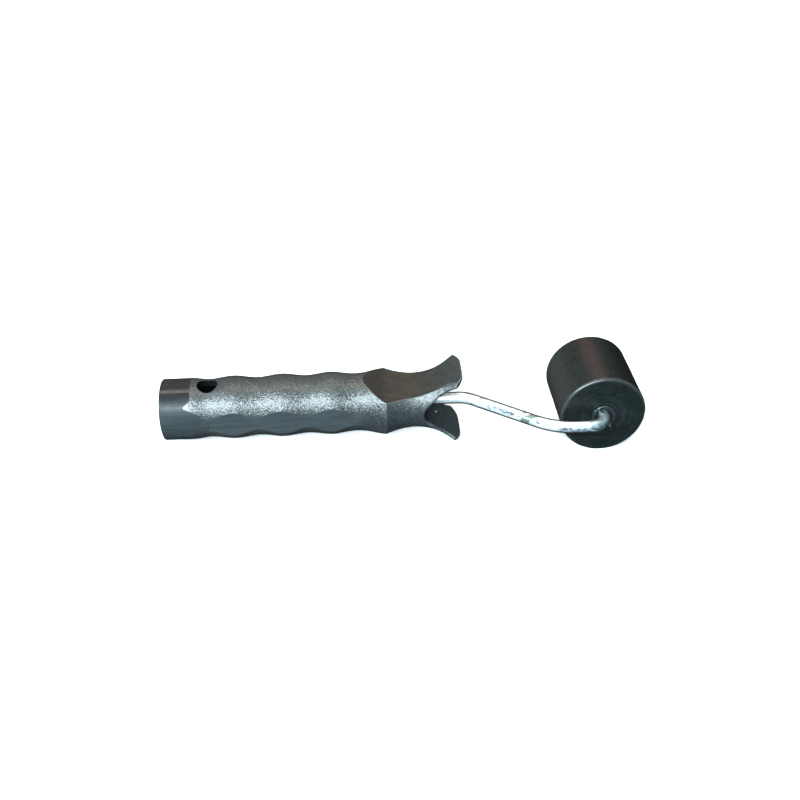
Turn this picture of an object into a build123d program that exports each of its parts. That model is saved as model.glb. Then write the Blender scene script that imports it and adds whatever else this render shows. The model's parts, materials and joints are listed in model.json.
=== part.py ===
from build123d import *
import os
from math import cos, radians, sin

os.makedirs("parts", exist_ok=True)

# Rubber brayer: a rubber roller on a bent wire frame with a moulded plastic grip.
# The origin is the roller's centre, the roller turns about Y, the grip runs towards -X
# along the X axis, and +Z is up.

# ---- Roller ----
roller_d = 38.1
roller_length = 38.1
roller_edge_r = 1.3
bond_gap = 0.02

# ---- Roller core and bushes ----
core_tube_outer_r = 5.2
core_tube_inner_r = 4.4
bush_flange_t = 0.6
bush_barrel_length = 9.0
running_clearance = 0.05
press_gap = 0.01

# ---- Washers and retaining cap ----
near_washer_r = 5.3
near_washer_bore_r = 3.7
near_washer_t = 0.8
far_washer_r = 6.6
far_washer_t = 1.0
end_float = 0.1
cap_brim_r = 6.0
cap_brim_t = 0.9
cap_crown_r = 4.6
cap_height = 4.4
cap_dome_rise = 1.5
cap_skin_t = 0.9
cap_edge_r = 0.3
washer_edge = 0.12

# ---- Wire frame ----
rod_r = 2.75
rod_tail_x = -142.0
slant_angle = 36.5
shoulder_bend_r = 12.0
knee_bend_r = 29.0
hook_bend_r = 7.0
rod_run_y = -27.1
run_length = 6.4
rod_end_chamfer = 0.5
ear_reach = 5.8
ear_half_width = 2.3
ear_length = 2.2
ear_tip_r = 0.45
ear_tilt = 125.0
tail_flat_length = 10.0
tail_flat_width = 7.6
tail_flat_t = 3.0
tail_flat_corner_r = 1.5
tail_flat_overlap = 1.0

# ---- Grip ----
grip_rear_x = -196.9
collar_r = 13.95
collar_end_x = -184.0
first_crest_x = -165.0
crest_pitch = 22.0
crest_count = 3
crest_r = 14.3
valley_r = 13.15
crease_x = -96.6
crease_r = 15.95
crease_rise_slope = 0.3
side_flat_y = 12.8
rim_edge_r = 0.8
grip_twist = 5.5
notch_edge_r = 0.9
rest_edge_r = 0.4

# ---- Flared front of the grip ----
waist_x = -82.9
waist_r = 12.6
flare_fall_slope = -0.42
flare_mid_x = -72.7
flare_mid_r = 14.8
flare_mid_slope = 0.5
flare_tip_x = -60.0
flare_tip_r = 24.0
flare_tip_slope = 0.75

# ---- Thumb rests, cut into the top and the bottom of the flare ----
rest_entry_x = -106.1
rest_entry_z = 13.2
rest_heel_x = -96.2
rest_heel_z = 8.5
rest_heel_r = 16.0
rest_floor_x = -87.4
rest_floor_z = 8.3
rest_sweep_r = 29.0
rest_rise_angle = 39.2
rest_lip_r = 9.0
rest_lip_turn = 24.0
rest_min_normal_z = 0.5

# ---- Notch that parts the two wings ----
notch_apex_x = -79.3
notch_root_x = -75.2
notch_root_z = 6.3
notch_mouth_x = -66.8
notch_mouth_z = 13.0
notch_mouth_slope = 0.64
wing_front_x = -62.1
wing_corner_r = 9.2
wing_half_width = 13.6
wing_trim_depth = 14.0
wing_end_slope = 30.0
wing_tip_z = 17.0
cut_reach = 32.0

# ---- Inside of the grip ----
socket_r = 10.0
socket_stop_x = -153.0
socket_mouth_chamfer = 0.6
chamber_r = 9.0
chamber_end_x = -112.0
boss_r = 5.6
rib_t = 2.0
rod_grip_gap = 0.02
hang_hole_r = 4.5
hang_hole_x = -175.9
gate_nub_r = 0.7
gate_nub_x = -73.0
gate_nub_top_z = -7.3
gate_nub_length = 2.0

roller_r = roller_d / 2
face_y = roller_length / 2
rod_bore_r = rod_r + running_clearance


# ---- Rubber sleeve: the working surface ----
with BuildPart() as rubber_sleeve:
    with BuildSketch(Plane.XZ.offset(-face_y)):
        Circle(roller_r)
        Circle(core_tube_outer_r + bond_gap, mode=Mode.SUBTRACT)
    extrude(amount=roller_length)
    rims = rubber_sleeve.edges().filter_by(GeomType.CIRCLE).group_by(SortBy.RADIUS)[-1]
    fillet(rims, roller_edge_r)
rubber_sleeve.part.label = "rubber_sleeve"
export_step(rubber_sleeve.part, "parts/rubber_sleeve.step")


# ---- Core tube: steel liner that the rubber is bonded to ----
core_half_length = face_y - bush_flange_t - press_gap
with BuildPart() as core_tube:
    with BuildSketch(Plane.XZ.offset(-core_half_length)):
        Circle(core_tube_outer_r)
        Circle(core_tube_inner_r, mode=Mode.SUBTRACT)
    extrude(amount=2 * core_half_length)
core_tube.part.label = "core_tube"
export_step(core_tube.part, "parts/core_tube.step")


# ---- Bushes: flanged plain bearings pressed into both ends of the core tube ----
def bush_section(side):
    """Half section of a flanged bush whose flange is flush with the face on the given side."""
    flange_outer = side * face_y
    flange_inner = side * (face_y - bush_flange_t)
    barrel_end = side * (face_y - bush_barrel_length)
    Polyline(
        (rod_bore_r, flange_outer),
        (core_tube_outer_r, flange_outer),
        (core_tube_outer_r, flange_inner),
        (core_tube_inner_r - press_gap, flange_inner),
        (core_tube_inner_r - press_gap, barrel_end),
        (rod_bore_r, barrel_end),
        close=True,
    )


with BuildPart() as near_bush:
    with BuildSketch(Plane.XY):
        with BuildLine():
            bush_section(-1)
        make_face()
    revolve(axis=Axis.Y)
near_bush.part.label = "near_bush"
export_step(near_bush.part, "parts/near_bush.step")

with BuildPart() as far_bush:
    with BuildSketch(Plane.XY):
        with BuildLine():
            bush_section(1)
        make_face()
    revolve(axis=Axis.Y)
far_bush.part.label = "far_bush"
export_step(far_bush.part, "parts/far_bush.step")


# ---- Near washer: between the rod's ears and the near bush ----
near_washer_outer_y = -(face_y + end_float + near_washer_t)
with BuildPart() as near_washer:
    with BuildSketch(Plane.XZ.offset(-near_washer_outer_y)):
        Circle(near_washer_r)
        Circle(near_washer_bore_r, mode=Mode.SUBTRACT)
    extrude(amount=-near_washer_t)
    chamfer(near_washer.edges().filter_by(GeomType.CIRCLE), washer_edge)
near_washer.part.label = "near_washer"
export_step(near_washer.part, "parts/near_washer.step")


# ---- Far washer: between the far bush and the retaining cap ----
far_washer_inner_y = face_y + end_float
with BuildPart() as far_washer:
    with BuildSketch(Plane.XZ.offset(-far_washer_inner_y)):
        Circle(far_washer_r)
        Circle(rod_bore_r, mode=Mode.SUBTRACT)
    extrude(amount=-far_washer_t)
    chamfer(far_washer.edges().filter_by(GeomType.CIRCLE), washer_edge)
far_washer.part.label = "far_washer"
export_step(far_washer.part, "parts/far_washer.step")


# ---- Retaining cap: pushed on to the end of the rod ----
cap_inner_y = far_washer_inner_y + far_washer_t + end_float
cap_crown_y = cap_inner_y + cap_height
rod_end_y = cap_crown_y - cap_skin_t - end_float
cap_bore_r = rod_r + press_gap
with BuildPart() as retaining_cap:
    with BuildSketch(Plane.XY):
        with BuildLine():
            brim_inner = Line((cap_bore_r, cap_inner_y), (cap_brim_r, cap_inner_y))
            brim_edge = Line(brim_inner @ 1, (cap_brim_r, cap_inner_y + cap_brim_t))
            brim_outer = Line(brim_edge @ 1, (cap_crown_r, cap_inner_y + cap_brim_t))
            wall = Line(brim_outer @ 1, (cap_crown_r, cap_crown_y - cap_dome_rise))
            TangentArc((0, cap_crown_y), wall @ 1, tangent=(1, 0))
            middle = Line((0, cap_crown_y), (0, cap_crown_y - cap_skin_t))
            bore_end = Line(middle @ 1, (cap_bore_r, cap_crown_y - cap_skin_t))
            Line(bore_end @ 1, brim_inner @ 0)
        make_face()
    revolve(axis=Axis.Y)
    rims = retaining_cap.edges().filter_by(GeomType.CIRCLE).filter_by(lambda edge: edge.is_closed)
    fillet(rims.group_by(SortBy.RADIUS)[-1], cap_edge_r)
retaining_cap.part.label = "retaining_cap"
export_step(retaining_cap.part, "parts/retaining_cap.step")


# ---- Frame rod: one bent wire from inside the grip to the roller's far end ----
slant_sin = sin(radians(slant_angle))
slant_cos = cos(radians(slant_angle))
slant_length = (-rod_run_y - (shoulder_bend_r + knee_bend_r) * (1 - slant_cos)) / slant_sin
shoulder_x = (
    -hook_bend_r - run_length - (shoulder_bend_r + knee_bend_r) * slant_sin - slant_length * slant_cos
)
ear_centre_y = near_washer_outer_y - end_float - ear_length / 2
tail_flat_centre_x = rod_tail_x - tail_flat_length / 2 + tail_flat_overlap
ear_direction = (cos(radians(ear_tilt)), 0, sin(radians(ear_tilt)))
ear_plane = Plane(origin=(0, ear_centre_y, 0), x_dir=ear_direction, z_dir=(0, -1, 0))

with BuildPart() as frame_rod:
    with BuildLine(Plane.XY) as rod_path:
        tail = Line((rod_tail_x, 0), (shoulder_x, 0))
        shoulder = JernArc(tail @ 1, tail % 1, shoulder_bend_r, -slant_angle)
        slant = Line(shoulder @ 1, shoulder @ 1 + (shoulder % 1) * slant_length)
        knee = JernArc(slant @ 1, slant % 1, knee_bend_r, slant_angle)
        run = Line(knee @ 1, knee @ 1 + (knee % 1) * run_length)
        hook = JernArc(run @ 1, run % 1, hook_bend_r, 90)
        Line(hook @ 1, (0, rod_end_y))
    with BuildSketch(Plane(origin=(rod_tail_x, 0, 0), z_dir=(1, 0, 0))):
        Circle(rod_r)
    sweep()
    chamfer(frame_rod.faces().sort_by(Axis.Y)[-1].edges(), rod_end_chamfer)
    # Two ears squeezed out of the wire stop the roller on its near side.
    with BuildSketch(ear_plane) as ears:
        with BuildLine():
            Polyline(
                (ear_reach, 0), (0, ear_half_width), (-ear_reach, 0), (0, -ear_half_width), close=True
            )
        make_face()
        fillet(ears.vertices().group_by(lambda v: round(abs(v.X), 3))[-1], ear_tip_r)
    extrude(amount=ear_length / 2, both=True)
    # The tail is hammered flat so that it can't turn in the grip.
    with BuildSketch(Plane.XY):
        with Locations((tail_flat_centre_x, 0)):
            RectangleRounded(tail_flat_length, tail_flat_width, tail_flat_corner_r)
    extrude(amount=tail_flat_t / 2, both=True)
frame_rod.part.label = "frame_rod"
export_step(frame_rod.part, "parts/frame_rod.step")


# ---- Grip: one moulding with a wavy grip, a flared pair of wings and a socket at the rear ----
first_valley_x = first_crest_x - crest_pitch / 2
last_valley_x = first_valley_x + crest_count * crest_pitch


def wave_points():
    """Valley and crest points of the grip's outline, from the first valley to the last."""
    points = [(first_valley_x, valley_r)]
    for number in range(crest_count):
        points.append((first_crest_x + number * crest_pitch, crest_r))
        points.append((first_crest_x + (number + 0.5) * crest_pitch, valley_r))
    return points


# The grip sits on the rod turned by grip_twist, so its own side and top planes lean by that much.
twist_sin = sin(radians(grip_twist))
twist_cos = cos(radians(grip_twist))
grip_side = Plane(origin=(0, 0, 0), x_dir=(1, 0, 0), z_dir=(0, -twist_cos, -twist_sin))
grip_top = Plane(origin=(0, 0, 0), x_dir=(1, 0, 0), z_dir=(0, -twist_sin, twist_cos))


def wing_end_plane(side):
    """Plane that lies in the tip of the upper wing (side 1) or the lower wing (side -1)."""
    slope_cos = cos(radians(wing_end_slope))
    slope_sin = side * sin(radians(wing_end_slope))
    return Plane(
        origin=grip_top.from_local_coords((wing_front_x, 0, side * wing_tip_z)),
        x_dir=grip_top.x_dir * slope_cos + grip_top.z_dir * slope_sin,
        z_dir=grip_top.z_dir * slope_cos - grip_top.x_dir * slope_sin,
    )


def is_thumb_rest(face):
    """True for the swept faces that the thumb and finger lie on, top and bottom."""
    faces_up_or_down = abs(face.normal_at(face.center()).Z) > rest_min_normal_z
    return faces_up_or_down and rest_entry_x < face.center().X < wing_front_x - notch_edge_r


def outline_edges(faces):
    """Edges that belong to one face only, which is the outline of a patch of faces."""
    edges = faces.edges()
    return edges.filter_by(lambda edge: sum(edge.is_same(other) for other in edges) == 1)


with BuildPart() as grip_handle:
    # Outer form, turned about the grip's axis.
    with BuildSketch(grip_side):
        with BuildLine():
            rim = Line((grip_rear_x, 0), (grip_rear_x, collar_r))
            collar = Line(rim @ 1, (collar_end_x, collar_r))
            waves = Spline(
                [collar @ 1] + wave_points(), tangents=[(1, 0)] * (2 * crest_count + 2)
            )
            rise = Spline(waves @ 1, (crease_x, crease_r), tangents=[(1, 0), (1, crease_rise_slope)])
            flare = Spline(
                rise @ 1,
                (waist_x, waist_r),
                (flare_mid_x, flare_mid_r),
                (flare_tip_x, flare_tip_r),
                tangents=[(1, flare_fall_slope), (1, 0), (1, flare_mid_slope), (1, flare_tip_slope)],
            )
            front = Line(flare @ 1, (flare_tip_x, 0))
            Line(front @ 1, rim @ 0)
        make_face()
    revolve(axis=Axis.X)

    # Smooth flats along both sides of the grip.
    for side in (-1, 1):
        with BuildSketch(grip_side.offset(side * side_flat_y)):
            with Locations(((first_valley_x + last_valley_x) / 2, 0)):
                Rectangle(last_valley_x - first_valley_x, 2 * crest_r)
        extrude(amount=side * crest_r, mode=Mode.SUBTRACT)

    # Thumb rests: one swept hollow on top and its mirror image below.
    with BuildSketch(grip_side.offset(-cut_reach)) as rest:
        with BuildLine():
            entry_slope = (rest_heel_z - rest_entry_z) / (rest_heel_x - rest_entry_x)
            entry_top_x = rest_entry_x + (cut_reach - rest_entry_z) / entry_slope
            entry = Line((entry_top_x, cut_reach), (rest_heel_x, rest_heel_z))
            floor = Line(entry @ 1, (rest_floor_x, rest_floor_z))
            rise = JernArc(floor @ 1, (1, 0), rest_sweep_r, rest_rise_angle)
            lip = JernArc(rise @ 1, rise % 1, rest_lip_r, -rest_lip_turn)
            run_out = Line(lip @ 1, lip @ 1 + (lip % 1) * wing_trim_depth)
            side = Line(run_out @ 1, ((run_out @ 1).X, cut_reach))
            Line(side @ 1, entry @ 0)
        make_face()
        fillet(rest.vertices().sort_by_distance((rest_heel_x, 0, rest_heel_z))[0], rest_heel_r)
        mirror(about=Plane.XZ)
    extrude(amount=2 * cut_reach, mode=Mode.SUBTRACT)

    # Notch between the wings.
    with BuildSketch(grip_side.offset(-cut_reach)):
        with BuildLine():
            upper = Spline(
                (notch_apex_x, 0),
                (notch_root_x, notch_root_z),
                (notch_mouth_x, notch_mouth_z),
                (notch_mouth_x + wing_trim_depth, notch_mouth_z + notch_mouth_slope * wing_trim_depth),
                tangents=[(0, 1), (1, 1), (1, notch_mouth_slope), (1, notch_mouth_slope)],
            )
            Line(upper @ 1, ((upper @ 1).X, 0))
            mirror(about=Plane.XZ)
        make_face()
    extrude(amount=2 * cut_reach, mode=Mode.SUBTRACT)

    # Rounded ends of the wings, cut square to each wing's own slope.
    for side in (1, -1):
        with BuildSketch(wing_end_plane(side)):
            Rectangle(2 * wing_trim_depth, 2 * cut_reach)
            with Locations((-wing_trim_depth, 0)):
                RectangleRounded(
                    2 * wing_trim_depth, 2 * wing_half_width, wing_corner_r, mode=Mode.SUBTRACT
                )
        extrude(amount=wing_trim_depth, both=True, mode=Mode.SUBTRACT)

    # Softened edges: the notch, the outline of each thumb rest and the rear rim.
    notch_wall = grip_handle.faces().filter_by(GeomType.EXTRUSION)
    fillet(notch_wall.edges(), notch_edge_r)
    fillet(outline_edges(grip_handle.faces().filter_by(is_thumb_rest)), rest_edge_r)
    fillet(grip_handle.edges().group_by(Axis.X)[0], rim_edge_r)

    # Socket for an extension pole, open at the rear, with a step that the pole's tip stops at.
    with BuildSketch(Plane(origin=(grip_rear_x, 0, 0), x_dir=(0, 1, 0), z_dir=(1, 0, 0))):
        Circle(socket_r)
    extrude(amount=socket_stop_x - grip_rear_x, mode=Mode.SUBTRACT)
    mouth = grip_handle.edges().group_by(Axis.X)[0].group_by(SortBy.RADIUS)[0]
    chamfer(mouth, socket_mouth_chamfer)

    # Chamber beyond the step, with the boss that holds the rod's tail carried on ribs in it.
    with BuildSketch(Plane(origin=(socket_stop_x, 0, 0), x_dir=(0, 1, 0), z_dir=(1, 0, 0))):
        Circle(chamber_r)
        Circle(boss_r, mode=Mode.SUBTRACT)
        Rectangle(2 * socket_r, rib_t, mode=Mode.SUBTRACT)
        Rectangle(rib_t, 2 * socket_r, mode=Mode.SUBTRACT)
    extrude(amount=chamber_end_x - socket_stop_x, mode=Mode.SUBTRACT)

    # Hole for the rod and the pocket for its flattened tail.
    with BuildSketch(Plane(origin=(rod_tail_x, 0, 0), x_dir=(0, 1, 0), z_dir=(1, 0, 0))):
        Circle(rod_r + rod_grip_gap)
    extrude(amount=flare_tip_x - rod_tail_x, mode=Mode.SUBTRACT)
    with BuildSketch(Plane.XY):
        with Locations((tail_flat_centre_x, 0)):
            RectangleRounded(
                tail_flat_length + 2 * rod_grip_gap,
                tail_flat_width + 2 * rod_grip_gap,
                tail_flat_corner_r + rod_grip_gap,
            )
    extrude(amount=tail_flat_t / 2 + rod_grip_gap, both=True, mode=Mode.SUBTRACT)

    # Hang hole through both walls of the collar end.
    with BuildSketch(grip_top):
        with Locations((hang_hole_x, 0)):
            Circle(hang_hole_r)
    extrude(amount=cut_reach, both=True, mode=Mode.SUBTRACT)

    # Stub left by the moulding gate on the lower wing's inner face.
    with BuildSketch(grip_top.offset(gate_nub_top_z)):
        with Locations((gate_nub_x, 0)):
            Circle(gate_nub_r)
    extrude(amount=-gate_nub_length)
grip_handle.part.label = "grip_handle"
export_step(grip_handle.part, "parts/grip_handle.step")
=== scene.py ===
import json
import math

import bpy
import numpy as np
from mathutils import Matrix, Vector
from mathutils.bvhtree import BVHTree


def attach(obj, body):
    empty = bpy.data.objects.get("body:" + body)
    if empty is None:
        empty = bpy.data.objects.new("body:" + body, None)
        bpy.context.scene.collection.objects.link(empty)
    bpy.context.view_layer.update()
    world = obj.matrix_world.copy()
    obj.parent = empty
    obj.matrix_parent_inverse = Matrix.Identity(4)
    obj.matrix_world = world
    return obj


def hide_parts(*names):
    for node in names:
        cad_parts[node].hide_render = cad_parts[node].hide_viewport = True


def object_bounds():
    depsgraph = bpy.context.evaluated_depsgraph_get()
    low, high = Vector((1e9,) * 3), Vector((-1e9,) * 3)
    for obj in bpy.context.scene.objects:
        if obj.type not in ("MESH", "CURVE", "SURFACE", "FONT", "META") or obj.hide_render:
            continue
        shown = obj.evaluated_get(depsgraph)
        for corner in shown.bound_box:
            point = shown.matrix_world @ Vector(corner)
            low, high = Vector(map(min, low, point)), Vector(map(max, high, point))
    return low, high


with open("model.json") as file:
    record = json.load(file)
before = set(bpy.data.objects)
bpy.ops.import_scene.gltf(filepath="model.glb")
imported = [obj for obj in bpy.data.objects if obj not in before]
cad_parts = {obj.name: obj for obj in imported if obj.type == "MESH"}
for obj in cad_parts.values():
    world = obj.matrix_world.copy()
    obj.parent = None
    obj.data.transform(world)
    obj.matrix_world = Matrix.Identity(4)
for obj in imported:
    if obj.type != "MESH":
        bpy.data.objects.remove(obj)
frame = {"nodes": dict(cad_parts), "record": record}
cad_low, cad_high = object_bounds()
MM = 0.001

# ---- Where the grip is grained and where it is smooth ----
# Lengths are in metres, and the tongue and valley angles in degrees from the grip's side.
GRIP_TWIST = math.radians(5.5)
COLLAR_END_X = -183.3 * MM
FLAT_START_X = -177.0 * MM
FLAT_END_X = -110.0 * MM
WAIST_START_X = -103.0 * MM
FLAT_Y = 12.8 * MM
FLAT_SLACK = 0.06 * MM
REST_START_X = -106.5 * MM
SOCKET_R = 10.6 * MM
WING_END_X = -76.0 * MM
EDGES_START_X = -105.0 * MM
TONGUE_REACH = 0.9 * MM
TONGUE_ANGLE = 39.0
TONGUE_SPREAD = 9.0
LOWER_DELAY = 11.0 * MM
VALLEY_ANGLE = 16.0
SHINE_REACH = 1.8 * MM
BORDER_SOFT = 0.3 * MM

hang_hole_mount = next(mount for mount in frame["record"]["mounts"] if mount["name"] == "hang_hole")
HANG_HOLE_X = hang_hole_mount["pos_m"][0]
HANG_HOLE_R = hang_hole_mount["dims"]["r_mm"] * MM
HANG_HOLE_SLACK = 0.1 * MM

# ---- Limits on a unit normal's parts, which tell flats, thumb rests and wing ends apart ----
FLAT_SIDEWAYS = 0.9995
REST_SIDEWAYS = 0.06
WING_END_UPWARD = 0.62
WING_END_FORWARD = 0.2

# ---- How finely the grip and the rubber are meshed, how rough they are, and their lighter edges, worn and with a painted highlight ----
GRIP_VOXEL = 0.30 * MM
GRAIN_SIZE = 0.9 * MM
GRAIN_DEPTH = 0.06 * MM
ROLLER_VOXEL = 0.45 * MM
RUBBER_SIZE = 2.2 * MM
RUBBER_DEPTH = 0.05 * MM
BORE_CLEAR_R = 7.0 * MM
EDGE_ROUNDS = 8
GRIP_EDGE = (0.035 * MM, 0.14 * MM)
RUBBER_EDGE = (0.05 * MM, 0.25 * MM)
ROUGH_LEVELS = 10

# ---- Stretches of the wire that are marked, darker and patchy, or squeezed into ears, in millimetres ----
MARKS_X = (-57.0, -24.0)
MARKS_Z = (0.9, 1.9)
DARKER_SIDE_X = (-22.0, 8.0)
DARKER_SIDE_Z = (-4.0, 1.9)
EARS_Y = (-22.4, -19.9)


# ---- Shader helpers ----
def new_material(name):
    """A material whose tree holds one Principled shader; returns the material, tree and shader."""
    material = bpy.data.materials.new(name)
    material.use_nodes = True
    tree = material.node_tree
    tree.nodes.clear()
    shader = tree.nodes.new("ShaderNodeBsdfPrincipled")
    output = tree.nodes.new("ShaderNodeOutputMaterial")
    tree.links.new(shader.outputs[0], output.inputs["Surface"])
    return material, tree, shader


def feed(tree, socket, value):
    """Gives a socket a value, or links another node's output to it."""
    if isinstance(value, bpy.types.NodeSocket):
        tree.links.new(value, socket)
    else:
        socket.default_value = value


def add_node(tree, kind, inputs=(), **settings):
    """Adds one shader node with its settings and its inputs, and returns its first output."""
    made = tree.nodes.new("ShaderNode" + kind)
    for key, value in settings.items():
        setattr(made, key, value)
    for key, value in dict(inputs).items():
        feed(tree, made.inputs[key], value)
    return made.outputs[0]


def object_mm(tree, stretch=(1, 1, 1)):
    """The point in the object's own frame, in millimetres, stretched along each axis."""
    coords = tree.nodes.new("ShaderNodeTexCoord").outputs["Object"]
    scale = [1000 * s for s in stretch]
    return add_node(tree, "Mapping", {"Vector": coords, "Scale": scale})


def noise(tree, point, size, detail=3.0, roughness=0.55, distortion=0.0):
    """Noise whose features are about size millimetres across."""
    return add_node(tree, "TexNoise", {
        "Vector": point, "Scale": 1 / size, "Detail": detail,
        "Roughness": roughness, "Distortion": distortion,
    })


def cells(tree, point, size):
    """Distance pattern of cells about size millimetres across."""
    return add_node(tree, "TexVoronoi", {"Vector": point, "Scale": 1 / size})


def ramp(tree, value, *stops):
    """Colour ramp: each stop is (position, colour or grey level)."""
    made = tree.nodes.new("ShaderNodeValToRGB")
    feed(tree, made.inputs[0], value)
    points = made.color_ramp.elements
    while len(points) < len(stops):
        points.new(0.5)
    for point, (position, colour) in zip(points, stops):
        point.position = position
        grey = isinstance(colour, (int, float))
        point.color = (colour, colour, colour, 1) if grey else (*colour, 1)
    return made.outputs[0]


def shades(tree, pattern, dark, light, reach=0.15):
    """Colour that runs from dark to light as a pattern rises through its middle."""
    return ramp(tree, pattern, (0.5 - reach, dark), (0.5 + reach, light))


def mix(tree, factor, first, second, blend="MIX"):
    """Mix of two colours."""
    made = tree.nodes.new("ShaderNodeMix")
    made.data_type = "RGBA"
    made.blend_type = blend
    feed(tree, made.inputs[0], factor)
    for socket, value in ((made.inputs[6], first), (made.inputs[7], second)):
        feed(tree, socket, (*value, 1) if isinstance(value, tuple) else value)
    return made.outputs[2]


def maths(tree, operation, first, second=0.0):
    """One arithmetic step on two values."""
    return add_node(tree, "Math", {0: first, 1: second}, operation=operation)


def product(tree, first, second):
    """Two values multiplied."""
    return maths(tree, "MULTIPLY", first, second)


def remap(tree, value, low, high, to_low, to_high):
    """Straight-line map from low..high to to_low..to_high, clamped."""
    return add_node(tree, "MapRange", {
        "Value": value, "From Min": low, "From Max": high, "To Min": to_low, "To Max": to_high,
    })


def bump(tree, height, strength, distance_mm, below=None):
    """Bump from a height pattern, on top of another bump if given."""
    inputs = {"Height": height, "Strength": strength, "Distance": distance_mm * MM}
    if below is not None:
        inputs["Normal"] = below
    return add_node(tree, "Bump", inputs)


def vector_maths(tree, operation, first, second=None, scale=None, output="Vector"):
    """One step on vectors."""
    made = tree.nodes.new("ShaderNodeVectorMath")
    made.operation = operation
    feed(tree, made.inputs[0], first)
    if second is not None:
        feed(tree, made.inputs[1], second)
    if scale is not None:
        feed(tree, made.inputs["Scale"], scale)
    return made.outputs[output]


def facets(tree, point, size, tilt):
    """Surface normal that tilts at random from cell to cell, each about size millimetres across."""
    made = tree.nodes.new("ShaderNodeTexVoronoi")
    feed(tree, made.inputs["Vector"], point)
    made.inputs["Scale"].default_value = 1 / size
    lean = vector_maths(tree, "SUBTRACT", made.outputs["Color"], (0.5, 0.5, 0.5))
    normal = tree.nodes.new("ShaderNodeNewGeometry").outputs["Normal"]
    leaning = vector_maths(tree, "ADD", normal, vector_maths(tree, "SCALE", lean, scale=tilt))
    return vector_maths(tree, "NORMALIZE", leaning)


def attribute(tree, name):
    """A number stored on the mesh's vertices."""
    made = tree.nodes.new("ShaderNodeAttribute")
    made.attribute_name = name
    return made.outputs["Fac"]


def along(tree, point, axis):
    """One coordinate of a point."""
    made = tree.nodes.new("ShaderNodeSeparateXYZ")
    feed(tree, made.inputs[0], point)
    return made.outputs[axis]


def distance(tree, point, axes):
    """Distance from the origin, counting only the axes marked 1."""
    across = add_node(tree, "Mapping", {"Vector": point, "Scale": axes})
    return vector_maths(tree, "LENGTH", across, output="Value")


def window(tree, value, low, high, soft):
    """1 between low and high, 0 outside, with soft ends."""
    rise = remap(tree, value, low - soft, low + soft, 0.0, 1.0)
    fall = remap(tree, value, high - soft, high + soft, 1.0, 0.0)
    return product(tree, rise, fall)


def turned_away(tree, start, full):
    """0 where the surface faces the viewer and 1 where it turns away at the outline."""
    made = tree.nodes.new("ShaderNodeLayerWeight")
    made.inputs["Blend"].default_value = 0.5
    return remap(tree, made.outputs["Facing"], start, full, 0.0, 1.0)


def fade(tree, value, mask, share):
    """The value, less the given share of itself where the mask is 1."""
    return product(tree, value, remap(tree, mask, 0.0, 1.0, 1.0, 1.0 - share))


# ---- Colours in linear RGB: a dark and a light one where they vary over a surface ----
FLAT = (0.032, 0.037, 0.040), (0.044, 0.052, 0.055)
COLLAR_SIDE = (0.025, 0.031, 0.034), (0.035, 0.042, 0.045)
# the collar's top: darker copies of its colour, a painted shade
COLLAR_TOP_PAINTED_SHADE = (0.013, 0.012, 0.013), (0.020, 0.017, 0.017)
# brownish thumb rests: a painted reflection of a warm light
REST_WARM_REFLECTION = (0.020, 0.0175, 0.015), (0.030, 0.0235, 0.019)
REST_GREY = (0.020, 0.0235, 0.023), (0.029, 0.029, 0.026)
GRAIN = (0.009, 0.012, 0.014), (0.034, 0.038, 0.039)
# painted shade for the wings' inner faces, the wing ends and the hollows
NOOK_PAINTED_SHADE = (0.012, 0.015, 0.017), (0.032, 0.037, 0.040)
# near-black painted shade inside the socket and the hang hole
HOLLOW_PAINTED_SHADE = (0.002, 0.002, 0.003), (0.009, 0.009, 0.009)
# lighter edges: wear and a painted highlight
WORN_AND_HIGHLIT_PLASTIC = (0.12, 0.14, 0.145)
# painted shade where the grip turns away at its outline
PLASTIC_OUTLINE_PAINTED_SHADE = (0.006, 0.008, 0.008)
DARKER_SIDE_ZINC = (0.10, 0.13, 0.16), (0.46, 0.51, 0.57)
MARKED_ZINC = (0.05, 0.065, 0.075)
MOTTLED_ZINC = (0.42, 0.48, 0.54)
BRIGHT_ZINC = (0.86, 0.88, 0.90)
# painted shade for the wire where it bends into the hub
BENT_ZINC_PAINTED_SHADE = (0.42, 0.49, 0.51)
# the ears: a darker, greenish painted shade
EAR_PAINTED_SHADE = (0.16, 0.205, 0.185)
# painted shade where the wire turns away at its outline
ZINC_OUTLINE_PAINTED_SHADE = (0.07, 0.06, 0.05)
WASHER = (0.04, 0.05, 0.055), (0.18, 0.20, 0.21)
RUBBER = (0.0030, 0.0050, 0.0053), (0.0085, 0.0105, 0.0105)
DUST = (0.026, 0.029, 0.029)
SCRAPED_RUBBER = (0.036, 0.043, 0.042)
# lighter rubber edges: wear and a painted highlight
RUBBED_AND_HIGHLIT_RUBBER = (0.13, 0.148, 0.146)
# painted shade where the rubber turns away at its outline
RUBBER_OUTLINE_PAINTED_SHADE = (0.002, 0.002, 0.002)
CORE = (0.30, 0.30, 0.31), (0.52, 0.52, 0.52)
# black bearing plastic, darker still as painted shade in the gap round the wire
BUSH_BLACK_AND_SHADE = (0.003, 0.003, 0.004), (0.010, 0.010, 0.011)
FLOOR = (0.80, 0.83, 0.85), (0.83, 0.86, 0.87)
FLOOR_GLOW = (0.93, 0.95, 0.96)
STUDIO_FRONT = (0.07, 0.125, 0.14), (0.42, 0.60, 0.66)
STUDIO_BACK_RIGHT = (0.10, 0.105, 0.105)
STUDIO_BACK_LEFT = (0.50, 0.50, 0.50)
STUDIO_BACK_HIGH = (0.21, 0.185, 0.16)
RED_GLOW = (1.05, 0.60, 0.48)
COOL_GLOW = (1.2, 1.5, 1.6)
SEEN_BEHIND = (0.95, 0.97, 0.98)


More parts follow.
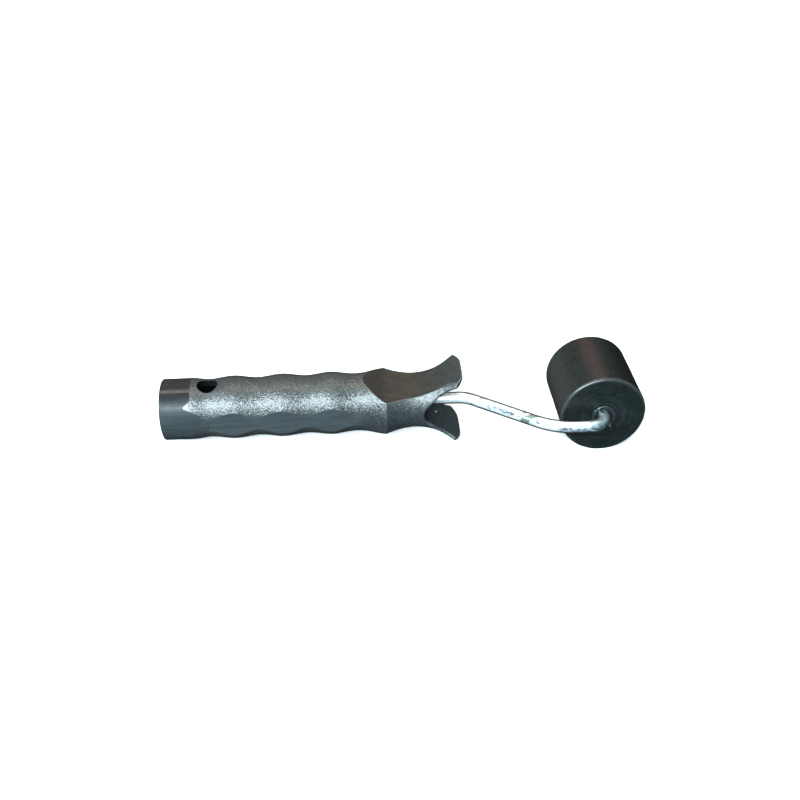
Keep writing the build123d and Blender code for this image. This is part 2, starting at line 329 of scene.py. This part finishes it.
# ---- Materials ----
def smooth_tint(tree, z, on_collar):
    """Faint lengthwise streaks on the flats and the collar, with a painted shade darkening the collar's
    top.
    """
    streaks = noise(tree, object_mm(tree, (0.12, 1, 1)), 1.6, detail=4, roughness=0.6)
    collar_side = shades(tree, streaks, *COLLAR_SIDE)
    collar_top_shaded = shades(tree, streaks, *COLLAR_TOP_PAINTED_SHADE)
    # painted shade: the collar's top gets the darker copies
    collar = mix(tree, remap(tree, z, 7.0, 12.5, 0.0, 1.0), collar_side, collar_top_shaded)
    return mix(tree, on_collar, shades(tree, streaks, *FLAT), collar)


def rest_tint(tree, x):
    """Thumb rests tinted brownish by a painted warm reflection that gives way to grey towards the wings'
    tips.
    """
    cloud = noise(tree, object_mm(tree, (0.35, 1, 1)), 2.4, detail=5, roughness=0.6)
    # painted warm reflection on the thumb rests, fading to grey towards the wings' tips
    warm_reflection = shades(tree, cloud, *REST_WARM_REFLECTION, reach=0.14)
    grey = shades(tree, cloud, *REST_GREY, reach=0.12)
    return mix(tree, remap(tree, x, -84.0, -68.0, 0.0, 1.0), warm_reflection, grey)


def grip_tint(tree, point, smooth, rest, specks, shade):
    """Colour of each kind of surface on the grip, with painted shade in nooks and hollows, and edges
    lighter from wear and a painted highlight.
    """
    tint = mix(tree, attribute(tree, "rest"), smooth, rest)
    tint = mix(tree, attribute(tree, "grain"), tint, shades(tree, specks, *GRAIN))
    # painted shade on the wings' inner faces, the wing ends and the hollows
    tint = mix(tree, attribute(tree, "painted_shade"), tint, shades(tree, shade, *NOOK_PAINTED_SHADE))
    # near-black painted shade inside the socket and the hang hole
    tint = mix(tree, attribute(tree, "inside"), tint, mix(tree, shade, *HOLLOW_PAINTED_SHADE))
    # edges lighter in patches: wear and a painted highlight
    rubbed_and_lit = remap(tree, noise(tree, point, 2.2, detail=4), 0.35, 0.65, 0.35, 1.0)
    return mix(tree, product(tree, attribute(tree, "edge"), rubbed_and_lit), tint, WORN_AND_HIGHLIT_PLASTIC)


def grip_gloss(tree, z, handled, outline):
    """Strength of the shine: high on the grain, lower on its top, low on smooth and hidden surfaces."""
    smooth_gloss = remap(tree, handled, 0.0, 1.0, 0.12, 0.26)
    gloss = remap(tree, attribute(tree, "shine"), 0.0, 1.0, smooth_gloss, 0.92)
    gloss = fade(tree, gloss, remap(tree, z, 11.0, 14.5, 0.0, 1.0), 0.3)
    gloss = fade(tree, gloss, attribute(tree, "painted_shade"), 0.6)
    return fade(tree, gloss, outline, 0.7)


def grip_relief(tree, point, shade):
    """Normal with sparkling facets and pits in the grain, and a slight waviness all over."""
    grain = attribute(tree, "grain")
    leaning = facets(tree, point, 0.85, product(tree, grain, 0.20))
    pits = bump(tree, cells(tree, point, 0.7), grain, 0.10, leaning)
    sparkle = bump(tree, noise(tree, point, 0.6, detail=2), grain, 0.10, pits)
    waviness = bump(tree, noise(tree, point, 4.0, detail=3, roughness=0.6), 0.35, 0.09, sparkle)
    return bump(tree, shade, 0.20, 0.02, waviness)


def grip_plastic():
    """Dark grey moulded plastic: coarse spark-eroded grain, smooth where the mesh says so."""
    material, tree, shader = new_material("grip_plastic")
    point = object_mm(tree)
    x, z = along(tree, point, "X"), along(tree, point, "Z")
    grain = attribute(tree, "grain")
    outline = turned_away(tree, 0.60, 0.92)
    on_collar = remap(tree, x, -182.0, -176.0, 1.0, 0.0)
    handled = product(tree, on_collar, remap(tree, z, 9.5, 12.0, 0.0, 1.0))
    specks = noise(tree, point, 0.55, detail=2)
    shade = noise(tree, point, 0.9, detail=4, roughness=0.65)
    tint = grip_tint(tree, point, smooth_tint(tree, z, on_collar), rest_tint(tree, x), specks, shade)
    # painted shade: the grip darkens where it turns away at the outline
    tint = mix(tree, fade(tree, outline, grain, 0.4), tint, PLASTIC_OUTLINE_PAINTED_SHADE)
    feed(tree, shader.inputs["Base Color"], tint)
    satin = remap(tree, noise(tree, point, 3.0, detail=4), 0.3, 0.7, 0.26, 0.38)
    satin = fade(tree, satin, handled, 0.30)
    rough = remap(tree, specks, 0.3, 0.7, 0.34, 0.48)
    feed(tree, shader.inputs["Roughness"], mix(tree, grain, satin, rough))
    feed(tree, shader.inputs["Specular IOR Level"], grip_gloss(tree, z, handled, outline))
    feed(tree, shader.inputs["Normal"], grip_relief(tree, point, shade))
    return material


def wire_tone(tree, x, z, mottle):
    """Bright plating, dark in the tool marks, and darker and patchy along one side near the hub."""
    tool_marks = product(tree, window(tree, x, *MARKS_X, 3.0), window(tree, z, *MARKS_Z, 0.4))
    level = maths(tree, "ADD", mottle, 0.10)
    level = maths(tree, "SUBTRACT", level, product(tree, tool_marks, 0.26))
    tone = ramp(tree, level, (0.36, MARKED_ZINC), (0.48, MOTTLED_ZINC), (0.58, BRIGHT_ZINC))
    darker_side = product(tree, window(tree, x, *DARKER_SIDE_X, 1.5), window(tree, z, *DARKER_SIDE_Z, 0.4))
    patchy = noise(tree, object_mm(tree, (0.6, 1, 1)), 1.0, detail=3, distortion=0.5)
    side_dark, side_light = DARKER_SIDE_ZINC
    return mix(tree, darker_side, tone, ramp(tree, patchy, (0.44, side_dark), (0.58, side_light)))


def zinc_wire():
    """Bright zinc plating: marked by tools along its slant, with painted shade where it bends into the
    hub, on the ears and at the outline.
    """
    material, tree, shader = new_material("zinc_wire")
    point = object_mm(tree)
    x, z = along(tree, point, "X"), along(tree, point, "Z")
    mottle = noise(
        tree, object_mm(tree, (0.45, 0.8, 1.3)), 1.3, detail=4, roughness=0.6, distortion=0.6)
    tone = wire_tone(tree, x, z, mottle)
    bent = remap(tree, x, -8.5, -4.0, 0.0, 1.0)
    # painted shade darkens the wire where it bends into the hub
    tone = mix(tree, bent, tone, mix(tree, 1.0, tone, BENT_ZINC_PAINTED_SHADE, "MULTIPLY"))
    off_axis = remap(tree, distance(tree, point, (1, 0, 1)), 2.85, 3.1, 0.0, 1.0)
    ears = product(tree, window(tree, along(tree, point, "Y"), *EARS_Y, 0.1), off_axis)
    # painted shade, darker and greenish, on the ears
    tone = mix(tree, ears, tone, EAR_PAINTED_SHADE)
    outline = fade(tree, turned_away(tree, 0.27, 0.49), bent, 0.45)
    # painted shade: the wire darkens where it turns away at the outline
    feed(tree, shader.inputs["Base Color"], mix(tree, outline, tone, ZINC_OUTLINE_PAINTED_SHADE))
    shader.inputs["Metallic"].default_value = 0.62
    shader.inputs["Specular Tint"].default_value = (0.15, 0.15, 0.15, 1)
    feed(tree, shader.inputs["Specular IOR Level"], remap(tree, outline, 0.0, 1.0, 0.5, 0.05))
    feed(tree, shader.inputs["Roughness"], remap(tree, mottle, 0.3, 0.7, 0.50, 0.30))
    dents = bump(tree, noise(tree, point, 2.4, detail=2), 0.35, 0.08)
    lines = noise(tree, object_mm(tree, (0.15, 0.6, 2.5)), 0.35, detail=4)
    feed(tree, shader.inputs["Normal"], bump(tree, lines, 0.25, 0.03, dents))
    return material


def zinc_washer():
    """Tumbled zinc plate with fine scratches and duller patches."""
    material, tree, shader = new_material("zinc_washer")
    patches = noise(tree, object_mm(tree), 1.1, detail=5, roughness=0.65)
    feed(tree, shader.inputs["Base Color"], shades(tree, patches, *WASHER))
    shader.inputs["Metallic"].default_value = 1.0
    feed(tree, shader.inputs["Roughness"], remap(tree, patches, 0.3, 0.7, 0.6, 0.4))
    scratches = noise(tree, object_mm(tree, (4, 1, 0.4)), 0.3, detail=4)
    feed(tree, shader.inputs["Normal"], bump(tree, scratches, 0.4, 0.03))
    return material


def scraped(tree, point):
    """Where the rubber is scraped: turned arcs here and there on the end faces, and long scratches."""
    on_face = remap(tree, maths(tree, "ABSOLUTE", along(tree, point, "Y")), 18.5, 19.0, 0.0, 1.0)
    turned = ramp(tree, noise(tree, distance(tree, point, (1, 0, 1)), 0.7), (0.56, 0.0), (0.66, 1.0))
    here_and_there = ramp(tree, noise(tree, point, 7.0, detail=2), (0.44, 0.0), (0.58, 0.85))
    arcs = product(tree, on_face, product(tree, turned, here_and_there))
    slanted = add_node(tree, "Mapping", {
        "Vector": point, "Rotation": (0.3, 0.2, 0.9), "Scale": (0.12, 1.6, 1.0)})
    scratches = ramp(tree, noise(tree, slanted, 0.8, detail=3), (0.66, 0.0), (0.72, 0.5))
    return maths(tree, "MAXIMUM", arcs, scratches)


def roller_rubber():
    """Ground black rubber: fine marks round the roller, faint bloom, dust, scrapes, and edges lighter
    from wear and a painted highlight; painted shade darkens its outline.
    """
    material, tree, shader = new_material("roller_rubber")
    point = object_mm(tree)
    outline = turned_away(tree, 0.54, 0.86)
    bloom = noise(tree, point, 5.0, detail=6, roughness=0.7, distortion=0.4)
    dust = ramp(tree, noise(tree, point, 0.9, detail=4), (0.52, 0.0), (0.78, 0.5))
    tint = mix(tree, dust, shades(tree, bloom, *RUBBER, reach=0.2), DUST)
    tint = mix(tree, scraped(tree, point), tint, SCRAPED_RUBBER)
    # edges lighter: wear and a painted highlight
    tint = mix(tree, attribute(tree, "edge"), tint, RUBBED_AND_HIGHLIT_RUBBER)
    # painted shade: the rubber darkens where it turns away at the outline
    feed(tree, shader.inputs["Base Color"], mix(tree, outline, tint, RUBBER_OUTLINE_PAINTED_SHADE))
    feed(tree, shader.inputs["Roughness"], remap(tree, bloom, 0.3, 0.7, 0.24, 0.38))
    feed(tree, shader.inputs["Specular IOR Level"], fade(tree, 0.5, outline, 0.8))
    texture = bump(tree, noise(tree, point, 1.1, detail=4), 0.6, 0.09)
    rings = noise(tree, object_mm(tree, (0.25, 3, 0.25)), 0.5, detail=4)
    feed(tree, shader.inputs["Normal"], bump(tree, rings, 0.35, 0.03, texture))
    return material


def core_steel():
    """Drawn steel with fine lines along the tube."""
    material, tree, shader = new_material("core_steel")
    lines = noise(tree, object_mm(tree, (2, 0.1, 2)), 0.4, detail=4)
    feed(tree, shader.inputs["Base Color"], shades(tree, lines, *CORE, reach=0.2))
    shader.inputs["Metallic"].default_value = 1.0
    feed(tree, shader.inputs["Roughness"], remap(tree, lines, 0.3, 0.7, 0.3, 0.45))
    feed(tree, shader.inputs["Normal"], bump(tree, lines, 0.3, 0.02))
    return material


def bush_plastic():
    """Black bearing plastic, darkened further as painted shade in the gap round the wire, with fine
    bumps and a worn sheen.
    """
    material, tree, shader = new_material("bush_plastic")
    point = object_mm(tree)
    wear = noise(tree, point, 1.4, detail=4)
    # black plastic, made darker still as painted shade where it sits in the gap round the wire
    feed(tree, shader.inputs["Base Color"], shades(tree, wear, *BUSH_BLACK_AND_SHADE, reach=0.2))
    feed(tree, shader.inputs["Roughness"], remap(tree, wear, 0.3, 0.7, 0.5, 0.35))
    feed(tree, shader.inputs["Normal"], bump(tree, noise(tree, point, 0.4, detail=3), 0.3, 0.03))
    return material


# ---- Grip and rubber: finely meshed copies of the CAD solids with real relief ----
def finely_meshed_copy(node, name, voxel):
    """A fine even mesh that follows a CAD node's surface; returns it, its places and their normals."""
    source = frame["nodes"][node]
    copy = bpy.data.objects.new(name, source.data.copy())
    bpy.context.scene.collection.objects.link(copy)
    remesh = copy.modifiers.new("remesh", "REMESH")
    remesh.mode = "VOXEL"
    remesh.voxel_size = voxel
    bpy.context.view_layer.update()
    evaluated = copy.evaluated_get(bpy.context.evaluated_depsgraph_get())
    mesh = bpy.data.meshes.new_from_object(evaluated)
    copy.modifiers.clear()
    copy.data = mesh
    surface = BVHTree.FromPolygons(
        [v.co for v in source.data.vertices], [p.vertices for p in source.data.polygons])
    places = np.empty((len(mesh.vertices), 3))
    normals = np.empty_like(places)
    for i, vertex in enumerate(mesh.vertices):
        places[i], normals[i] = surface.find_nearest(vertex.co)[:2]
    mesh.vertices.foreach_set("co", places.astype(np.float32).ravel())
    mesh.update()
    return copy, places, normals


def smooth_step(value, low, high):
    """0 below low, 1 above high, and a smooth rise between."""
    t = np.clip((value - low) / (high - low), 0, 1)
    return t * t * (3 - 2 * t)


def grip_axes(vectors):
    """Parts of each vector, one to a row, along the grip's own sideways and upward directions."""
    cos, sin = math.cos(GRIP_TWIST), math.sin(GRIP_TWIST)
    return vectors[:, 1] * cos + vectors[:, 2] * sin, vectors[:, 2] * cos - vectors[:, 1] * sin


def grain_borders(angle):
    """How far along the grip its grain starts, and how far its shine, at an angle round the grip."""
    tongue = np.exp(-((angle - TONGUE_ANGLE) / TONGUE_SPREAD) ** 2)
    below = np.clip((TONGUE_ANGLE - angle) / TONGUE_ANGLE, 0, 1) * LOWER_DELAY
    grain = COLLAR_END_X - TONGUE_REACH * tongue + below
    return grain, grain - SHINE_REACH * tongue


def past(x, border):
    """0 before a border along the grip and 1 past it, with a soft edge."""
    return smooth_step(x, border - BORDER_SOFT, border + BORDER_SOFT)


def beside_flats(x, angle):
    """1 close beside the flat along each side of the grip, where its valleys stay smooth."""
    beside = 1 - smooth_step(angle, VALLEY_ANGLE - 2, VALLEY_ANGLE + 4)
    beside *= smooth_step(x, FLAT_START_X, FLAT_START_X + 1 * MM)
    return beside * (1 - smooth_step(x, FLAT_END_X, WAIST_START_X))


def surface_masks(places, normals):
    """Per vertex: where the grip is grained, shiny, a thumb rest, in a nook out of the light, or inside;
    the last two get painted shade.
    """
    x = places[:, 0]
    side, height = grip_axes(places)
    side_normal, height_normal = grip_axes(normals)
    on_flat = (np.abs(np.abs(side) - FLAT_Y) < FLAT_SLACK) & (np.abs(side_normal) > FLAT_SIDEWAYS)
    on_flat &= (x > FLAT_START_X) & (x < FLAT_END_X)
    swept = (np.abs(side_normal) < REST_SIDEWAYS) & (x > REST_START_X)
    inward = swept & (height_normal * height < 0)
    wing_end = (np.abs(height_normal) < WING_END_UPWARD) & (normals[:, 0] > WING_END_FORWARD)
    wing_end &= x > WING_END_X
    hang_hole = np.hypot(x - HANG_HOLE_X, side) < HANG_HOLE_R + HANG_HOLE_SLACK
    inside = ((np.hypot(side, height) < SOCKET_R) & (x < REST_START_X)) | hang_hole
    angle = np.degrees(np.arctan2(np.abs(height), np.abs(side)))
    grained = np.where(on_flat | swept | wing_end | inside, 0, 1 - beside_flats(x, angle))
    grain_start, shine_start = grain_borders(angle)
    return {
        "grain": past(x, grain_start) * grained,
        "shine": past(x, shine_start) * grained,
        "rest": (swept & ~inward).astype(float),
        # the next two masks mark where the grip's colour gets painted shade
        "painted_shade": (inward | wing_end | inside).astype(float),
        "inside": inside.astype(float),
    }


def spread(mesh, values, rounds):
    """Averages each vertex's values with its neighbours', a number of times."""
    edges = np.empty(len(mesh.edges) * 2, np.int32)
    mesh.edges.foreach_get("vertices", edges)
    a, b = edges[0::2], edges[1::2]
    count = np.bincount(edges, minlength=len(values))[:, None]
    for _ in range(rounds):
        total = np.stack([
            np.bincount(a, values[b, k], len(values)) + np.bincount(b, values[a, k], len(values))
            for k in range(values.shape[1])], axis=1)
        values = 0.5 * values + 0.5 * total / count
    return values


def store(mesh, name, values):
    """Keeps one number per vertex under a name that a material can read."""
    mesh.attributes.new(name, "FLOAT", "POINT").data.foreach_set("value", values.astype(np.float32))


def convexity(mesh, places, normals, low, high):
    """1 along convex edges: how far each vertex stands out of its smoothed neighbourhood."""
    stands_out = ((places - spread(mesh, places, EDGE_ROUNDS)) * normals).sum(axis=1)
    return smooth_step(stands_out, low, high)


def roughen(piece, mask, size, depth):
    """Displaces the surface by random lumps where the mask is 1."""
    group = piece.vertex_groups.new(name="rough")
    for level in range(1, ROUGH_LEVELS + 1):
        members = np.nonzero(np.ceil(mask * ROUGH_LEVELS) == level)[0]
        group.add(members.tolist(), level / ROUGH_LEVELS, "REPLACE")
    texture = bpy.data.textures.new(piece.name, "CLOUDS")
    texture.noise_scale = size
    texture.noise_depth = 1
    displace = piece.modifiers.new("rough", "DISPLACE")
    displace.texture = texture
    displace.texture_coords = "LOCAL"
    displace.vertex_group = "rough"
    displace.strength = depth
    displace.mid_level = 0.5


def stand_in(piece, node, body, material):
    """Shows a piece in place of a CAD node, on the same body."""
    piece.data.shade_smooth()
    piece.data.materials.clear()
    piece.data.materials.append(material)
    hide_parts(node)
    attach(piece, body)


def make_grip():
    """The visible grip, grained where it is held."""
    grip, places, normals = finely_meshed_copy("grip_handle", "grip_moulding", GRIP_VOXEL)
    masks = surface_masks(places, normals)
    for name, mask in masks.items():
        store(grip.data, name, mask)
    # convex edges, made lighter by wear and a painted highlight
    edge = convexity(grip.data, places, normals, *GRIP_EDGE)
    store(grip.data, "edge", np.where(places[:, 0] < EDGES_START_X, 0, edge))
    roughen(grip, masks["grain"], GRAIN_SIZE, GRAIN_DEPTH)
    stand_in(grip, "grip_handle", "frame", grip_plastic())


def make_roller():
    """The visible rubber sleeve, slightly uneven as ground rubber is."""
    sleeve, places, normals = finely_meshed_copy("rubber_sleeve", "rubber_cover", ROLLER_VOXEL)
    outside = (np.hypot(places[:, 0], places[:, 2]) > BORE_CLEAR_R).astype(float)
    # convex edges, made lighter by wear and a painted highlight
    store(sleeve.data, "edge", convexity(sleeve.data, places, normals, *RUBBER_EDGE) * outside)
    roughen(sleeve, outside, RUBBER_SIZE, RUBBER_DEPTH)
    stand_in(sleeve, "rubber_sleeve", "roller", roller_rubber())


# ---- The other pieces keep their CAD shapes ----
def paint(material, *nodes):
    """Gives CAD nodes their material."""
    for node in nodes:
        mesh = frame["nodes"][node].data
        mesh.materials.clear()
        mesh.materials.append(material)


make_grip()
make_roller()
paint(zinc_wire(), "frame_rod")
paint(zinc_washer(), "near_washer", "far_washer", "retaining_cap")
paint(core_steel(), "core_tube")
paint(bush_plastic(), "near_bush", "far_bush")


# ---- Floor ----
def make_floor():
    """A large pale floor just under the roller that glows far away, so that it fades into white."""
    half = 6.0
    corners = [(-half, -half, 0), (half, -half, 0), (half, half, 0), (-half, half, 0)]
    mesh = bpy.data.meshes.new("floor")
    mesh.from_pydata(corners, [], [(0, 1, 2, 3)])
    floor = bpy.data.objects.new("floor", mesh)
    floor.location = (0, 0, cad_low.z)
    bpy.context.scene.collection.objects.link(floor)
    material, tree, shader = new_material("floor")
    soft = noise(tree, object_mm(tree), 60, detail=2)
    feed(tree, shader.inputs["Base Color"], shades(tree, soft, *FLOOR, reach=0.2))
    shader.inputs["Roughness"].default_value = 0.9
    shader.inputs["Emission Color"].default_value = (*FLOOR_GLOW, 1)
    away = distance(tree, object_mm(tree), (1, 1, 0))
    feed(tree, shader.inputs["Emission Strength"], remap(tree, away, 500, 1000, 0.0, 0.8))
    mesh.materials.append(material)
    floor.visible_diffuse = False
    floor.visible_glossy = False


make_floor()


# ---- Lights and surroundings ----
def softbox(name, place, target, size, power, colour):
    """A rectangular area light that faces a point; returns the lamp."""
    light = bpy.data.lights.new(name, "AREA")
    light.shape = "RECTANGLE"
    light.size, light.size_y = size
    light.energy = power
    light.color = colour
    lamp = bpy.data.objects.new(name, light)
    lamp.location = place
    lamp.rotation_euler = (Vector(target) - Vector(place)).to_track_quat("-Z", "Y").to_euler()
    bpy.context.scene.collection.objects.link(lamp)
    return lamp


middle = (cad_low + cad_high) / 2
softbox("key", (-0.45, -0.71, 0.59), middle, (1.2, 0.20), 37, (0.78, 0.94, 1.0))
fill = softbox("fill", (0.10, 0.80, 0.40), middle, (0.6, 0.4), 9, (0.95, 0.98, 1.0))
fill.visible_glossy = False
softbox("warm_top", (-0.10, 0.24, 1.0), middle, (0.9, 0.14), 5.5, (1.0, 0.92, 0.74))


def glow(tree, direction, centre, inner, outer):
    """1 near a direction and 0 away from it, with a soft edge; inner and outer are angles in degrees."""
    towards = Vector(centre).normalized()
    closeness = vector_maths(tree, "DOT_PRODUCT", direction, towards, output="Value")
    return add_node(tree, "MapRange", {
        "Value": closeness,
        "From Min": math.cos(math.radians(outer)),
        "From Max": math.cos(math.radians(inner)),
    }, interpolation_type="SMOOTHSTEP")


def make_studio():
    """Soft surroundings: cool and bright in front, dim behind with a red glow; white to the camera."""
    world = bpy.data.worlds.new("studio")
    bpy.context.scene.world = world
    world.use_nodes = True
    sky = world.node_tree
    direction = sky.nodes.new("ShaderNodeTexCoord").outputs["Generated"]
    x, y, z = (along(sky, direction, axis) for axis in "XYZ")
    front = mix(sky, remap(sky, z, -0.25, 0.25, 0.0, 1.0), *STUDIO_FRONT)
    on_the_left = remap(sky, x, -0.65, -0.15, 1.0, 0.0)
    back_low = mix(sky, on_the_left, STUDIO_BACK_RIGHT, STUDIO_BACK_LEFT)
    back = mix(sky, remap(sky, z, 0.10, 0.50, 0.0, 1.0), back_low, STUDIO_BACK_HIGH)
    tone = mix(sky, remap(sky, y, -0.4, 0.3, 0.0, 1.0), front, back)
    tone = mix(sky, glow(sky, direction, (0.06, 0.80, 0.60), 1, 17), tone, RED_GLOW)
    tone = mix(sky, glow(sky, direction, (-0.4, -0.7, 0.6), 10, 50), tone, COOL_GLOW)
    dimmed = product(sky, remap(sky, x, 0.10, 0.75, 1.0, 0.40), remap(sky, z, 0.68, 0.92, 1.0, 0.35))
    tone = mix(sky, 1.0, tone, dimmed, "MULTIPLY")
    seen = sky.nodes.new("ShaderNodeLightPath").outputs["Is Camera Ray"]
    tone = mix(sky, seen, tone, SEEN_BEHIND)
    background = sky.nodes["Background"]
    sky.links.new(tone, background.inputs[0])
    background.inputs[1].default_value = 1.0


make_studio()


# ---- Camera ----
def aim_camera(place, azimuth, elevation, roll, focal_ratio):
    """A camera at a place in metres; angles in degrees; focal length as a ratio of the image width."""
    a, e, r = (math.radians(v) for v in (azimuth, elevation, roll))
    back = Vector((math.sin(a) * math.cos(e), -math.cos(a) * math.cos(e), math.sin(e)))
    level = Vector((math.cos(a), math.sin(a), 0))
    rise = back.cross(level)
    right = math.cos(r) * level + math.sin(r) * rise
    up = math.cos(r) * rise - math.sin(r) * level
    data = bpy.data.cameras.new("camera")
    data.sensor_width = 36
    data.lens = data.sensor_width * focal_ratio
    data.clip_start = 0.01
    camera = bpy.data.objects.new("camera", data)
    axes = Matrix((right, up, back)).transposed()
    camera.matrix_world = Matrix.Translation(place) @ axes.to_4x4()
    bpy.context.scene.collection.objects.link(camera)
    bpy.context.scene.camera = camera


aim_camera((-0.10687, -0.36885, 0.24689), -2.6535, 33.777, -0.8818, 1.21104)
bpy.context.scene.view_settings.view_transform = "Standard"
